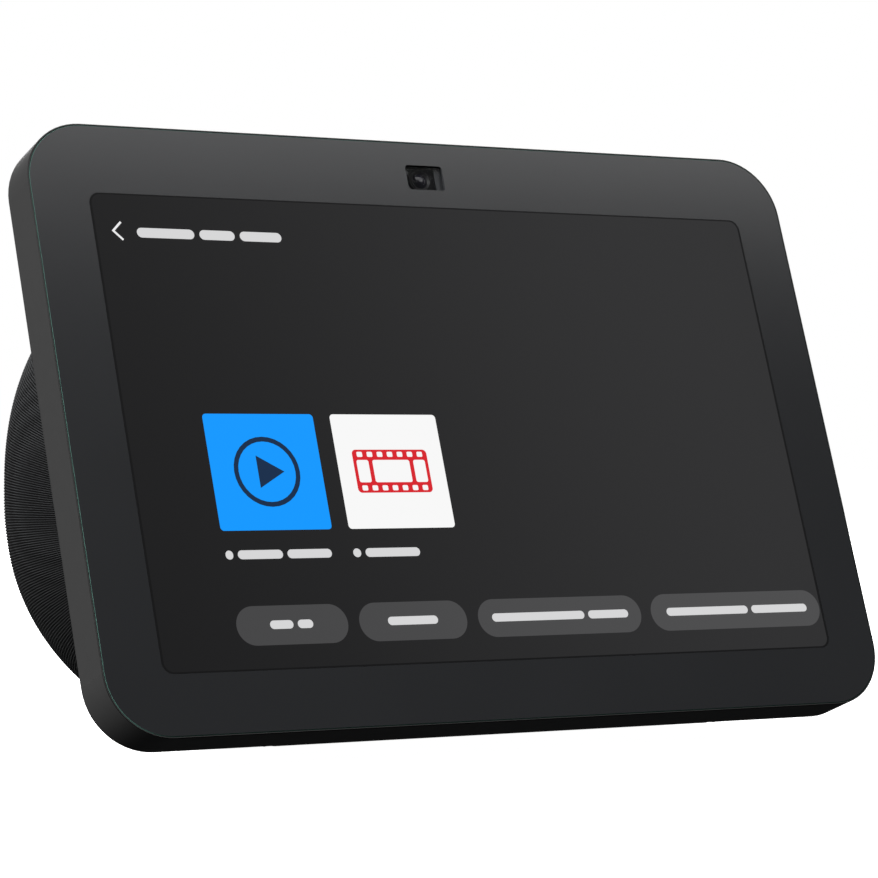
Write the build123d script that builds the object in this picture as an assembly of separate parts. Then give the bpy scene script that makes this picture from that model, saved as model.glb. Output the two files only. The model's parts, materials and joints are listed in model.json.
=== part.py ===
"""Smart display: a tilted eight-inch screen slab in front of a knitted speaker dome.

Units are millimetres. The origin is under the middle of the object, on the table it stands on.
+X is the viewer's right, +Y points to the back and +Z points up; the screen faces -Y.
"""
from build123d import *
from math import cos, sin, pi, radians
import os

# ------------------------------------------------------------------ whole object
WIDTH = 200.0
DEPTH = 106.0
LEAN = 19.83                 # the screen leans back from the vertical, in degrees
SLAB_HEIGHT = 138.32         # measured up the tilted face
SLAB_DEPTH = 12.5
SLAB_CORNER = 14.4
BACK_ROUNDING = 2.0          # round edge between the slab's wall and its back
LOWEST_DEPTH = 11.55         # the rounded rear edge is lowest this far behind the front face
UNDER_SLAB = 3.2             # the slab's lowest edge and the dome's flat base stand this far up

# ------------------------------------------------------------------ slab, front to back
# Depths are measured from the front of the glass towards the back.
RIM = 0.3                    # housing visible round the glass
GLASS_GAP = 0.05
GLASS_BEVEL = 0.2
GLASS_BACK = 0.8
GASKET_BACK = 1.0
WALL = 2.2
SHELF = 4.5                  # the rear flange of the housing starts this far in from its outside
MIDFRAME_FRONT = 4.2
MIDFRAME_BACK = 5.2
COVER_FLANGE = 9.9
FRAME_FLANGE = 10.9
FIT = 0.1                    # assembly clearance between nested plates

SCREEN_X = 0.33              # centre of the active area from the centre of the glass
SCREEN_Y = -1.29
LCD_WIDTH = 178.0
LCD_HEIGHT = 113.0
LCD_BACK = 1.8
BACKLIGHT_BACK = 3.6
TRAY_WALL = 0.5
TRAY_FRONT = 1.2

REAR_OPENING_W = 176.0
REAR_OPENING_H = 112.0
REAR_OPENING_CORNER = 8.0
COVER_LIP = 4.0              # overlap of the rear cover behind the housing's flange
COVER_RIB = 8.0              # solid border inside the rear opening

# ------------------------------------------------------------------ fasteners
SCREW_RADIUS = 1.1
HEAD_RADIUS = 2.2
HEAD_HEIGHT = 1.0
DRIVE_RADIUS = 0.9
DRIVE_DEPTH = 0.5
POST_RADIUS = 2.6
BOSS_RADIUS = 4.2
POST_PLACES = [(-80, 48), (-80, -48), (80, 48), (80, -48), (0, 50.5), (0, -50.5)]
DOME_SCREW_PLACES = [(-68, 26), (68, 26), (-68, -34), (68, -34)]
COVER_SEAT = 11.3            # depth of the seat of the screws that hold the rear cover
COVER_SCREW_TIP = 7.3
DOME_SCREW_TIP = 19.0
DOME_SEAT = 11.1
ENCLOSURE_BOSS_RADIUS = 3.4
ENCLOSURE_BOSS_BACK = 20.0

# ------------------------------------------------------------------ electronics
BOARD_WIDTH = 100.0
BOARD_HEIGHT = 60.0
BOARD_Y = -6.0
BOARD_FRONT = 7.2
BOARD_BACK = 8.2
STANDOFF_X = 46.0
STANDOFF_Y = 26.0
STANDOFF_RADIUS = 2.2
BOARD_SCREW_RADIUS = 0.8
BOARD_HEAD_RADIUS = 1.6
BOARD_HEAD_HEIGHT = 0.8
CHIP_HEIGHT = 1.0
# Each part on the board: width, height, x, y from the board's centre, thickness.
PROCESSOR = (14, 14, -20, 2, CHIP_HEIGHT)
SMALL_CHIPS = [
    (10, 9, -4, 6, CHIP_HEIGHT),
    (10, 9, -4, -6, CHIP_HEIGHT),
    (8, 8, 26, 12, 0.9),
    (6, 6, 36, -4, 0.9),
    (16, 4, 22, -20, 1.4),
]
CAN_WIDTH = 38.0
CAN_HEIGHT = 30.0
CAN_X = -13.0
CAN_WALL = 0.3
CAN_BACK = 10.2
ANTENNA_X = 88.0
ANTENNA_Y = 6.0
ANTENNA_WIDTH = 6.0
ANTENNA_LENGTH = 44.0
ANTENNA_THICKNESS = 0.4
FLEX_X = 20.0
FLEX_WIDTH = 12.0
FLEX_THICKNESS = 0.25
FLEX_FRONT = 3.5
FLEX_LOOP = 1.6              # the ribbon turns this far below the backlight tray
FLEX_CONNECTOR = 4.0         # length of ribbon under the board's edge

# ------------------------------------------------------------------ camera behind the top bezel
CAMERA_Y = 60.2              # window centre above the centre of the glass
WINDOW_W = 9.8
WINDOW_H = 6.1
WINDOW_CORNER = 0.8
WINDOW_FRONT = 0.35
LENS_X = -0.4
LENS_RADIUS = 1.9
LENS_FRONT = 1.6
LENS_BACK = 2.6
LENS_CURVE = 4.2
BARREL_RADIUS = 2.9
BARREL_LIP = 2.4
BARREL_BORE = 1.2
BRACKET_WIDTH = 34.0
BRACKET_HEIGHT = 9.4
BRACKET_X = 1.0
BRACKET_Y = 60.5
BRACKET_FRONT = 1.4          # floor of the channel in which the shutter slides
BRACKET_FACE = 2.4           # floor of the recess round the lens
BRACKET_BACK = 5.0
CHANNEL_WIDTH = 30.6
CHANNEL_X = 1.6
CHANNEL_Y = 61.7
CAMERA_BOARD_BACK = 5.7
CAMERA_BOARD_SIZE = (18, 9)
LIGHT_PLACE = (-3.7, 62.1)
LIGHT_RADIUS = 0.45
LIGHT_FRONT = 1.7

# ------------------------------------------------------------------ camera shutter
SHUTTER_TRAVEL = 5.6
SHUTTER_X = 8.0              # middle of the stem when the shutter is open
SHUTTER_FRONT = 1.0
SHUTTER_THICKNESS = 0.3
BLADE_WIDTH = 10.6
BLADE_HEIGHT = 7.0
BLADE_X = 8.6
BLADE_Y = 60.6
RISER_WIDTH = 4.0
RISER_Y = 64.9
RISER_HEIGHT = 3.4
BRIDGE_Y = 66.1
BRIDGE_HEIGHT = 1.0
STEM_Y = 67.6
STEM_HEIGHT = 4.0
STEM_WIDTH = 3.0
STEM_FRONT = 4.0
STEM_BACK = 6.0
TAB_Y = 69.9
TAB_SIZE = (8, 1.2, 3.4)
TAB_ROUNDING = 1.2
GRIP_SIZE = (0.35, 0.4, 2.6)
GRIP_STEPS = (-1.8, -0.6, 0.6, 1.8)
SLOT_HEIGHT = 2.3

# Openings of the midframe for the controls, the camera bracket and the ribbon:
# width, height, corner, x, y.
MIDFRAME_CUTS = [(124, 12, 0, 0, 68), (36, 14, 1, BRACKET_X, 62.4), (22, 5, 1, FLEX_X, -59)]

# ------------------------------------------------------------------ top edge controls
BUTTON_X = {"volume_down_button": -36.0, "volume_up_button": -23.0, "mute_button": 30.0}
BUTTON_LENGTH = 9.0
BUTTON_WIDTH = 3.6
BUTTON_DEPTH_POS = 7.5
BUTTON_PROUD = 0.7
BUTTON_ROUNDING = 0.4
BUTTON_FLANGE = 0.8
BUTTON_FLANGE_GROWTH = (2.2, 1.6)
BAY_WIDTH = 120.0            # room for the controls behind the top wall
BAY_HEIGHT = 8.0
STRIP_X = -3.0
STRIP_SIZE = (80, 0.8, 3.6)
STRIP_DROP = 4.75            # the strip board's top below the top of the slab
STRIP_DEPTH_POS = 8.5
SWITCH_SIZE = (3.6, 0.7, 3.0)
SWITCH_TIP_RADIUS = 0.9
SWITCH_TIP_HEIGHT = 0.4
MIC_X = (-78.0, -66.0, 66.0, 78.0)
MIC_DEPTH_POS = 2.7
MIC_HOLE_RADIUS = 0.5
MIC_SIZE = (4.0, 1.2, 2.8)
MIC_PORT_RADIUS = 0.3
MIC_PORT_DEPTH = 0.4

# ------------------------------------------------------------------ dome
DOME_HALF_WIDTH = 92.1
DOME_HALF_DEPTH = 65.9
DOME_Y = 40.1 - DEPTH / 2
DOME_Z = UNDER_SLAB + 53.0   # height of the widest section
DOME_UP = 71.0               # widest section to the pole above it
DOME_DOWN = 65.9             # widest section to the pole below it
PLAN_POWER = 4.1             # squareness of the horizontal sections
UP_POWER = 2.42
DOWN_POWER = 2.3
PLAN_STEPS = 32
RISE_SHARES = (-0.9, -0.8, -0.65, -0.45, -0.22, 0.0, 0.22, 0.45, 0.65, 0.8, 0.9, 0.96, 0.99)
FABRIC = 0.9
SHELL_INNER = 3.1
FRONT_WALL = 2.0
BASE_THICKNESS = 3.0
BASE_TOP = UNDER_SLAB + BASE_THICKNESS
BASE_FLANGE = 2.5
FLANGE_OPENING = (84, 59)
FLANGE_OPENING_CORNER = 10.0
FLANGE_OPENING_Y = -12.0
SEAT_REACH = 30.0            # long enough for a speaker seat to reach the outside of the shell

# ------------------------------------------------------------------ speaker drivers, left and right
DRIVER_X = 77.0              # mounting plane of the drivers
DRIVER_Y = 10.0
DRIVER_Z = 53.0
DRIVER_RADIUS = 26.0
DRIVER_OPENING = 23.0
DRIVER_SEAT = 28.0           # outer radius of the ring of the shell that carries a driver
BASKET_WINDOW = (16, 13, 7.5)
BASKET_WINDOW_Z = -7.2
CONE_RADIUS = 19.0
MAGNET_RADIUS = 18.0
MAGNET_BACK = 28.0
ROLL_RADIUS = 1.75
ROLL_THICKNESS = 0.4
ROLL_AT = 21.1
# Half sections of the turned parts as (radius, height above the mounting plane).
BASKET_SECTION = [
    (DRIVER_RADIUS, 0), (DRIVER_RADIUS, -1.2), (22.2, -1.2), (15.2, -13.2), (15.2, -14.4), (10.6, -14.4),
    (10.6, -13.2), (14.2, -13.2), (21.0, -1.2), (21.0, -0.6), (22.6, -0.6), (22.6, 0),
]
MAGNET_SECTION = [
    (MAGNET_RADIUS, -14.4), (MAGNET_RADIUS, -MAGNET_BACK), (0, -MAGNET_BACK), (0, -15.4),
    (8.4, -15.4), (8.4, -21.5), (10.6, -21.5), (10.6, -14.4),
]
CONE_SECTION = [
    (CONE_RADIUS, -1.4), (9.8, -9.6), (9.8, -17.6), (9.2, -17.6), (9.2, -9.2), (6.4, -7.7),
    (0, -6.8), (0, -6.2), (6.7, -7.1), (9.4, -8.6), (CONE_RADIUS, -0.6),
]

# ------------------------------------------------------------------ passive radiator at the back
RADIATOR_Y = 44.5            # mounting plane of the passive radiator
RADIATOR_Z = 60.0
RADIATOR_RADIUS = 30.0
RADIATOR_OPENING = 27.0
RADIATOR_SEAT = 31.0
RADIATOR_ROLL_RADIUS = 2.5
RADIATOR_ROLL_THICKNESS = 0.5
RADIATOR_ROLL_AT = 23.5
RADIATOR_RING_SECTION = [(RADIATOR_RADIUS, 0), (RADIATOR_RADIUS, -2.4), (25.4, -2.4), (25.4, 0)]
DIAPHRAGM_SECTION = [
    (20.6, -0.4), (20.6, -1.6), (14.0, -1.6), (14.0, -5.2),
    (0, -5.2), (0, -0.8), (12.0, -0.8), (13.5, -0.4),
]
RADIATOR_LIP_SECTION = [(28, 0), (28, 0.5), (25.9, 0.5), (25.9, 0)]

# ------------------------------------------------------------------ foot
FOOT_Y = 61.8 - DEPTH / 2
FOOT_WIDTH = 100.0
FOOT_LENGTH = 38.6
FOOT_CORNER = 14.0
FOOT_THICKNESS = 1.9
FOOT_BEVEL = 0.4
PEDESTAL_BOTTOM = 1.4
PEDESTAL_MARGIN = 1.0
BASE_SCREW_PLACES = [(-52.0, -12.9), (52.0, -12.9), (-38.0, 21.0), (38.0, 21.0)]
BASE_SEAT_DROP = 1.2         # seat of the base screws below the plate's top
BASE_HEAD_HEIGHT = 1.3
BASE_SCREW_RISE = 1.8        # length of the base screws' tips in the shell's flange
BASE_HOLE_RISE = 2.0
WEIGHT_SIZE = (72, 26, 4)
WEIGHT_CORNER = 3.0
WEIGHT_Y = 4.0

# ------------------------------------------------------------------ power inlet and leads
INLET_Z = 16.2
INLET_FLOOR = 27.5           # bottom of the plug recess, along Y
INLET_OUTER = 8.6
INLET_RADIUS = 6.2
INLET_PROUD = 0.35           # the ring stands proud of the fabric
JACK_BORE = 2.8
JACK_DEPTH = 10.0
JACK_FLANGE = 1.5
JACK_BODY = (13, 15, 11)
PIN_RADIUS = 1.0
PIN_SHORT = 1.0              # the pin ends this far below the recess's floor
LEAD_RADIUS = 1.2
SPEAKER_LEAD_X = 5.0
SPEAKER_LEAD_Y = 12.0        # height on the slab of the hole for the two speaker leads
JACK_LEAD_Y = -36.0          # height on the slab of the hole for the inlet's lead
LEAD_SLOT = (16, 5)
LEAD_SLOT_CORNER = 2.0
LEAD_START = 0.2             # the leads start this far behind the slab
LEAD_STRAIGHT = 14.0         # they leave the slab square to it over this length
LEAD_TO_MAGNET = 18.0
LEAD_TURN_Y = -6.0
SPEAKER_LEAD_BEND = 8.0
JACK_LEAD_BEND = 6.0

BIG = 400.0                  # larger than the whole object, for cutting

# ------------------------------------------------------------------ frames of reference
lean = radians(LEAN)
front_edge_z = UNDER_SLAB + LOWEST_DEPTH * sin(lean)
slab_centre = Location(
    (0, -DEPTH / 2 + SLAB_HEIGHT / 2 * sin(lean), front_edge_z + SLAB_HEIGHT / 2 * cos(lean)),
    (90 - LEAN, 0, 0),
)
nodes = {}


def on_slab(shape):
    """Move a shape from the slab's frame (x right, y up, -z into the depth) to its place."""
    return slab_centre * shape


def plate(width, height, front, back, corner=0.0, x=0.0, y=0.0):
    """A rounded rectangular plate in the slab's frame between two depths."""
    if corner:
        outline = RectangleRounded(width, height, corner)
    else:
        outline = Rectangle(width, height)
    return Pos(x, y, -back) * extrude(outline, back - front)


def slab_plate(inset, front, back):
    """A plate with the slab's own outline, moved inwards by inset."""
    return plate(WIDTH - 2 * inset, SLAB_HEIGHT - 2 * inset, front, back, SLAB_CORNER - inset)


def rod(radius, front, back, x=0.0, y=0.0):
    """A round rod in the slab's frame between two depths."""
    return Pos(x, y, -back) * extrude(Circle(radius), back - front)


def upright(radius, bottom, top, x, y):
    """A round rod standing along Z between two heights."""
    return Pos(x, y, bottom) * extrude(Circle(radius), top - bottom)


def turned(points):
    """A ring or cup: a closed outline of (radius, height) points turned about Z."""
    outline = make_face(Plane.XZ * Polyline(*points, close=True))
    return revolve(outline, Axis.Z)


def turned_roll(middle, radius, thickness):
    """The half-round roll of a surround: an arch over the plane z = 0, turned about Z."""
    arch = Circle(radius) - Circle(radius - thickness)
    arch &= Pos(0, radius) * Rectangle(4 * radius, 2 * radius)
    return revolve(Plane.XZ * (Pos(middle, 0) * arch), Axis.Z)


def tube(points, bend, radius):
    """A lead along straight runs joined by tangent arcs."""
    path = FilletPolyline(*points, radius=bend)
    section = Plane(path @ 0, z_dir=path % 0) * Circle(radius)
    return sweep(section, path=path)


def one_shape(shape):
    """One compound of the solids in the result of a cut or a join."""
    solids = ShapeList(shape).solids() if isinstance(shape, list) else shape.solids()
    return Compound(list(solids))


# ------------------------------------------------------------------ dome surface
def dome_section(inset, height, scale):
    """One horizontal section of the dome: a squarish oval drawn by its polar formula."""
    half_x = (DOME_HALF_WIDTH - inset) * scale
    half_y = (DOME_HALF_DEPTH - inset) * scale
    points = []
    for step in range(PLAN_STEPS):
        angle = 2 * pi * step / PLAN_STEPS
        reach = abs(cos(angle) / half_x) ** PLAN_POWER + abs(sin(angle) / half_y) ** PLAN_POWER
        radius = reach ** (-1 / PLAN_POWER)
        points.append(Vector(radius * cos(angle), DOME_Y + radius * sin(angle), height))
    return Wire([Edge.make_spline(points, periodic=True)])


def dome(inset):
    """The dome's full solid, its surface moved inwards by inset, before any cut."""
    sections = []
    for share in RISE_SHARES:
        rise = DOME_UP - inset if share > 0 else DOME_DOWN - inset
        power = UP_POWER if share > 0 else DOWN_POWER
        scale = (1 - abs(share) ** power) ** (1 / power)
        sections.append(dome_section(inset, DOME_Z + rise * share, scale))
    return Solid.make_loft(sections)


def behind(depth):
    """Everything behind a depth of the slab's frame."""
    return on_slab(Pos(0, 0, -depth - BIG / 2) * Box(2 * BIG, 2 * BIG, BIG))


def above(height):
    """Everything above a height."""
    return Pos(0, 0, height + BIG / 2) * Box(2 * BIG, 2 * BIG, BIG)


dome_outer = dome(0)
dome_skin = dome(FABRIC)
dome_inner = dome(SHELL_INNER)


# ------------------------------------------------------------------ slab: glass and screen
def make_glass():
    glass = slab_plate(RIM + GLASS_GAP, 0, GLASS_BACK)
    glass = chamfer(glass.faces().sort_by(Axis.Z)[-1].edges(), GLASS_BEVEL)
    opening = plate(WINDOW_W, WINDOW_H, 0, GLASS_BACK, WINDOW_CORNER, 0, CAMERA_Y)
    window = plate(WINDOW_W, WINDOW_H, WINDOW_FRONT, GLASS_BACK, WINDOW_CORNER, 0, CAMERA_Y)
    gasket = slab_plate(RIM + GLASS_GAP, GLASS_BACK, GASKET_BACK)
    gasket -= slab_plate(WALL, GLASS_BACK, GASKET_BACK)
    nodes["front_glass"] = on_slab(glass - opening)
    nodes["camera_window"] = on_slab(window)
    nodes["glass_gasket"] = on_slab(gasket)


def make_screen():
    panel = plate(LCD_WIDTH, LCD_HEIGHT, GLASS_BACK, LCD_BACK, 1.0, SCREEN_X, SCREEN_Y)
    light = plate(LCD_WIDTH, LCD_HEIGHT, LCD_BACK, BACKLIGHT_BACK, 1.0, SCREEN_X, SCREEN_Y)
    tray_size = (LCD_WIDTH + 2 * TRAY_WALL, LCD_HEIGHT + 2 * TRAY_WALL)
    tray = plate(*tray_size, TRAY_FRONT, MIDFRAME_FRONT, 1.0 + TRAY_WALL, SCREEN_X, SCREEN_Y)
    tray -= plate(LCD_WIDTH, LCD_HEIGHT, TRAY_FRONT, BACKLIGHT_BACK, 1.0, SCREEN_X, SCREEN_Y)
    nodes["lcd_panel"] = on_slab(panel)
    nodes["backlight_unit"] = on_slab(light)
    nodes["backlight_tray"] = on_slab(tray)


# ------------------------------------------------------------------ slab: housing
def slider_slot():
    """The slot in the top wall in which the shutter's stem slides."""
    middle_x = SHUTTER_X - SHUTTER_TRAVEL / 2
    middle_depth = (STEM_FRONT + STEM_BACK) / 2
    length = STEM_WIDTH + SHUTTER_TRAVEL + 4 * FIT
    slot = Box(length, WALL + 1, SLOT_HEIGHT)
    return Pos(middle_x, SLAB_HEIGHT / 2 - WALL / 2, -middle_depth) * slot


def through_top(shape, x, depth):
    """A cutting shape drawn about Z, turned to pass through the top wall."""
    return Pos(x, SLAB_HEIGHT / 2, -depth) * (Rot(90, 0, 0) * shape)


def make_housing():
    body = slab_plate(0, 0, SLAB_DEPTH)
    body = fillet(body.faces().sort_by(Axis.Z)[0].edges(), BACK_ROUNDING)
    body = chamfer(body.faces().sort_by(Axis.Z)[-1].edges(), RIM / 2)
    body -= slab_plate(RIM, 0, GASKET_BACK)
    body -= slab_plate(WALL, GASKET_BACK, MIDFRAME_BACK)
    body -= slab_plate(SHELF, MIDFRAME_BACK, FRAME_FLANGE)
    body -= plate(REAR_OPENING_W, REAR_OPENING_H, FRAME_FLANGE, SLAB_DEPTH, REAR_OPENING_CORNER)
    bay_y = SLAB_HEIGHT / 2 - WALL - BAY_HEIGHT / 2
    body -= plate(BAY_WIDTH, BAY_HEIGHT, MIDFRAME_BACK, FRAME_FLANGE, 0, 0, bay_y)
    body -= slider_slot()
    button_outline = SlotOverall(BUTTON_LENGTH + 2 * FIT, BUTTON_WIDTH + 2 * FIT)
    button_hole = extrude(button_outline, 2 * WALL, both=True)
    for x in BUTTON_X.values():
        body -= through_top(button_hole, x, BUTTON_DEPTH_POS)
    for x in MIC_X:
        body -= through_top(Cylinder(MIC_HOLE_RADIUS, 3 * WALL), x, MIC_DEPTH_POS)
    nodes["display_frame"] = on_slab(body)


def standoff_places():
    """The four places of the main board's standoffs on the slab."""
    return [(sx * STANDOFF_X, BOARD_Y + sy * STANDOFF_Y) for sx in (-1, 1) for sy in (-1, 1)]


def make_midframe():
    body = slab_plate(WALL + FIT, MIDFRAME_FRONT, MIDFRAME_BACK)
    for width, height, corner, x, y in MIDFRAME_CUTS:
        body -= plate(width, height, MIDFRAME_FRONT, MIDFRAME_BACK, corner, x, y)
    for x, y in POST_PLACES:
        body += rod(POST_RADIUS, MIDFRAME_BACK, COVER_FLANGE, x, y)
    for x, y in standoff_places():
        body += rod(STANDOFF_RADIUS, MIDFRAME_BACK, BOARD_FRONT, x, y)
    for x, y in POST_PLACES:
        body -= rod(SCREW_RADIUS, COVER_SCREW_TIP - 0.3, COVER_FLANGE, x, y)
    for x, y in standoff_places():
        body -= rod(BOARD_SCREW_RADIUS, MIDFRAME_FRONT, BOARD_FRONT, x, y)
    nodes["midframe"] = on_slab(body)


def make_rear_cover():
    plug = (REAR_OPENING_W - 2 * FIT, REAR_OPENING_H - 2 * FIT)
    body = plate(*plug, COVER_FLANGE, SLAB_DEPTH, REAR_OPENING_CORNER - FIT)
    lip = (REAR_OPENING_W + 2 * COVER_LIP, REAR_OPENING_H + 2 * COVER_LIP)
    body += plate(*lip, COVER_FLANGE, FRAME_FLANGE, REAR_OPENING_CORNER + 1)
    hollow = (REAR_OPENING_W - 2 * COVER_RIB, REAR_OPENING_H - 2 * COVER_RIB)
    body -= plate(*hollow, COVER_FLANGE, FRAME_FLANGE, REAR_OPENING_CORNER / 2)
    for x, y in POST_PLACES + DOME_SCREW_PLACES:
        body += rod(BOSS_RADIUS, COVER_FLANGE, FRAME_FLANGE, x, y)
        body -= rod(SCREW_RADIUS, COVER_FLANGE, SLAB_DEPTH, x, y)
    for x, y in POST_PLACES:
        body -= rod(HEAD_RADIUS, COVER_SEAT, SLAB_DEPTH, x, y)
    for x, y in DOME_SCREW_PLACES:
        body -= rod(HEAD_RADIUS, COVER_FLANGE, DOME_SEAT, x, y)
    for y in (SPEAKER_LEAD_Y, JACK_LEAD_Y):
        body -= plate(*LEAD_SLOT, COVER_FLANGE, SLAB_DEPTH, LEAD_SLOT_CORNER, 0, y)
    nodes["rear_cover"] = on_slab(body)


def make_slab_screws():
    covers = []
    for x, y in POST_PLACES:
        head_back = COVER_SEAT + HEAD_HEIGHT
        body = rod(HEAD_RADIUS, COVER_SEAT, head_back, x, y)
        body += rod(SCREW_RADIUS, COVER_SCREW_TIP, COVER_SEAT, x, y)
        covers.append(body - rod(DRIVE_RADIUS, head_back - DRIVE_DEPTH, head_back, x, y))
    domes = []
    for x, y in DOME_SCREW_PLACES:
        head_front = DOME_SEAT - HEAD_HEIGHT
        body = rod(HEAD_RADIUS, head_front, DOME_SEAT, x, y)
        body += rod(SCREW_RADIUS, DOME_SEAT, DOME_SCREW_TIP, x, y)
        domes.append(body - rod(DRIVE_RADIUS, head_front, head_front + DRIVE_DEPTH, x, y))
    nodes["display_screws"] = on_slab(Compound(covers))
    nodes["dome_screws"] = on_slab(Compound(domes))


# ------------------------------------------------------------------ slab: electronics
def on_board(part):
    """One part on the back of the main board."""
    width, height, x, y, thickness = part
    return plate(width, height, BOARD_BACK, BOARD_BACK + thickness, 0, x, BOARD_Y + y)


def make_board():
    board = plate(BOARD_WIDTH, BOARD_HEIGHT, BOARD_FRONT, BOARD_BACK, 1, 0, BOARD_Y)
    bolts = []
    for x, y in standoff_places():
        board -= rod(BOARD_SCREW_RADIUS + FIT, BOARD_FRONT, BOARD_BACK, x, y)
        head = rod(BOARD_HEAD_RADIUS, BOARD_BACK, BOARD_BACK + BOARD_HEAD_HEIGHT, x, y)
        bolts.append(head + rod(BOARD_SCREW_RADIUS, BOARD_FRONT - 0.8, BOARD_BACK, x, y))
    pad_front = BOARD_BACK + CHIP_HEIGHT
    pad_width, pad_height, pad_x, pad_y, _ = PROCESSOR
    can_inside = CAN_BACK - CAN_WALL
    can = plate(CAN_WIDTH, CAN_HEIGHT, BOARD_BACK, CAN_BACK, 1, CAN_X, BOARD_Y)
    hollow = (CAN_WIDTH - 2 * CAN_WALL, CAN_HEIGHT - 2 * CAN_WALL)
    can -= plate(*hollow, BOARD_BACK, can_inside, 1 - CAN_WALL, CAN_X, BOARD_Y)
    pad = plate(pad_width, pad_height, pad_front, can_inside, 0, pad_x, BOARD_Y + pad_y)
    nodes["main_board"] = on_slab(board)
    nodes["board_screws"] = on_slab(Compound(bolts))
    nodes["board_chips"] = on_slab(Compound([on_board(part) for part in [PROCESSOR] + SMALL_CHIPS]))
    nodes["thermal_pad"] = on_slab(pad)
    nodes["shield_can"] = on_slab(can)


def make_antennas():
    back = MIDFRAME_BACK + ANTENNA_THICKNESS
    for side, sign in (("left", -1), ("right", 1)):
        strip = plate(ANTENNA_WIDTH, ANTENNA_LENGTH, MIDFRAME_BACK, back, 0.5, sign * ANTENNA_X, ANTENNA_Y)
        nodes["antenna_" + side] = on_slab(strip)


def make_display_flex():
    """The ribbon from the backlight tray's lower edge, round the midframe, to the board."""
    tray_edge = SCREEN_Y - LCD_HEIGHT / 2 - TRAY_WALL
    loop_y = tray_edge - FLEX_LOOP
    board_edge = BOARD_Y - BOARD_HEIGHT / 2
    back = MIDFRAME_BACK + 0.3
    run = board_edge + FLEX_CONNECTOR - loop_y
    out_y = tray_edge - FLEX_LOOP / 2
    out = plate(FLEX_WIDTH, FLEX_LOOP, FLEX_FRONT, FLEX_FRONT + FLEX_THICKNESS, 0, FLEX_X, out_y)
    turn = plate(FLEX_WIDTH, FLEX_THICKNESS, FLEX_FRONT, back + FLEX_THICKNESS, 0, FLEX_X, loop_y)
    rise = plate(FLEX_WIDTH, run, back, back + FLEX_THICKNESS, 0, FLEX_X, loop_y + run / 2)
    plug = plate(FLEX_WIDTH, 2.0, back, BOARD_FRONT, 0, FLEX_X, board_edge + FLEX_CONNECTOR - 1)
    nodes["display_flex"] = on_slab(out + turn + rise + plug)


# ------------------------------------------------------------------ slab: camera
def make_camera():
    bracket = plate(
        BRACKET_WIDTH, BRACKET_HEIGHT, GLASS_BACK, BRACKET_BACK, WINDOW_CORNER, BRACKET_X, BRACKET_Y
    )
    bracket -= plate(CHANNEL_WIDTH, BRACKET_HEIGHT, GLASS_BACK, BRACKET_FRONT, 0, CHANNEL_X, CHANNEL_Y)
    bracket -= plate(WINDOW_W, WINDOW_H, BRACKET_FRONT, BRACKET_FACE, WINDOW_CORNER, 0, CAMERA_Y)
    bracket -= rod(BARREL_RADIUS + FIT, BRACKET_FACE, BRACKET_BACK, LENS_X, CAMERA_Y)
    barrel = turned([
        (LENS_RADIUS, -LENS_FRONT - 0.3), (BARREL_LIP, -LENS_FRONT + 0.1), (BARREL_RADIUS, -LENS_FRONT - 0.1),
        (BARREL_RADIUS, -BRACKET_BACK), (BARREL_BORE, -BRACKET_BACK), (BARREL_BORE, -LENS_BACK),
        (LENS_RADIUS, -LENS_BACK),
    ])
    lens = rod(LENS_RADIUS, LENS_FRONT, LENS_BACK)
    lens &= Pos(0, 0, -LENS_FRONT - LENS_CURVE) * Sphere(LENS_CURVE)
    board = plate(*CAMERA_BOARD_SIZE, BRACKET_BACK, CAMERA_BOARD_BACK, 0.5, LENS_X, CAMERA_Y)
    nodes["camera_bracket"] = on_slab(bracket)
    nodes["camera_barrel"] = on_slab(Pos(LENS_X, CAMERA_Y, 0) * barrel)
    nodes["camera_lens"] = on_slab(Pos(LENS_X, CAMERA_Y, 0) * lens)
    nodes["camera_board"] = on_slab(board)
    nodes["status_light"] = on_slab(rod(LIGHT_RADIUS, LIGHT_FRONT, BRACKET_FACE, *LIGHT_PLACE))


def make_shutter():
    back = SHUTTER_FRONT + SHUTTER_THICKNESS
    body = plate(BLADE_WIDTH, BLADE_HEIGHT, SHUTTER_FRONT, back, 0.4, BLADE_X, BLADE_Y)
    body += plate(RISER_WIDTH, RISER_HEIGHT, SHUTTER_FRONT, back, 0, SHUTTER_X, RISER_Y)
    body += plate(RISER_WIDTH, BRIDGE_HEIGHT, SHUTTER_FRONT, STEM_BACK, 0, SHUTTER_X, BRIDGE_Y)
    body += plate(STEM_WIDTH, STEM_HEIGHT, STEM_FRONT, STEM_BACK, 0, SHUTTER_X, STEM_Y)
    middle_depth = (STEM_FRONT + STEM_BACK) / 2
    tab = Pos(SHUTTER_X, TAB_Y, -middle_depth) * Box(*TAB_SIZE)
    body += fillet(tab.edges().filter_by(Axis.Y), TAB_ROUNDING)
    tab_top = TAB_Y + TAB_SIZE[1] / 2
    for step in GRIP_STEPS:
        body -= Pos(SHUTTER_X + step, tab_top, -middle_depth) * Box(*GRIP_SIZE)
    nodes["shutter_slider"] = on_slab(body)


# ------------------------------------------------------------------ slab: buttons and microphones
def make_button(name, x):
    inner = SLAB_HEIGHT / 2 - WALL - FIT / 2
    height = SLAB_HEIGHT / 2 + BUTTON_PROUD - inner
    cap = extrude(SlotOverall(BUTTON_LENGTH, BUTTON_WIDTH), height)
    cap = fillet(cap.faces().sort_by(Axis.Z)[-1].edges(), BUTTON_ROUNDING)
    longer, wider = BUTTON_FLANGE_GROWTH
    flange = extrude(SlotOverall(BUTTON_LENGTH + longer, BUTTON_WIDTH + wider), BUTTON_FLANGE)
    body = cap + Pos(0, 0, -BUTTON_FLANGE) * flange
    nodes[name] = on_slab(Pos(x, inner, -BUTTON_DEPTH_POS) * (Rot(-90, 0, 0) * body))


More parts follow.
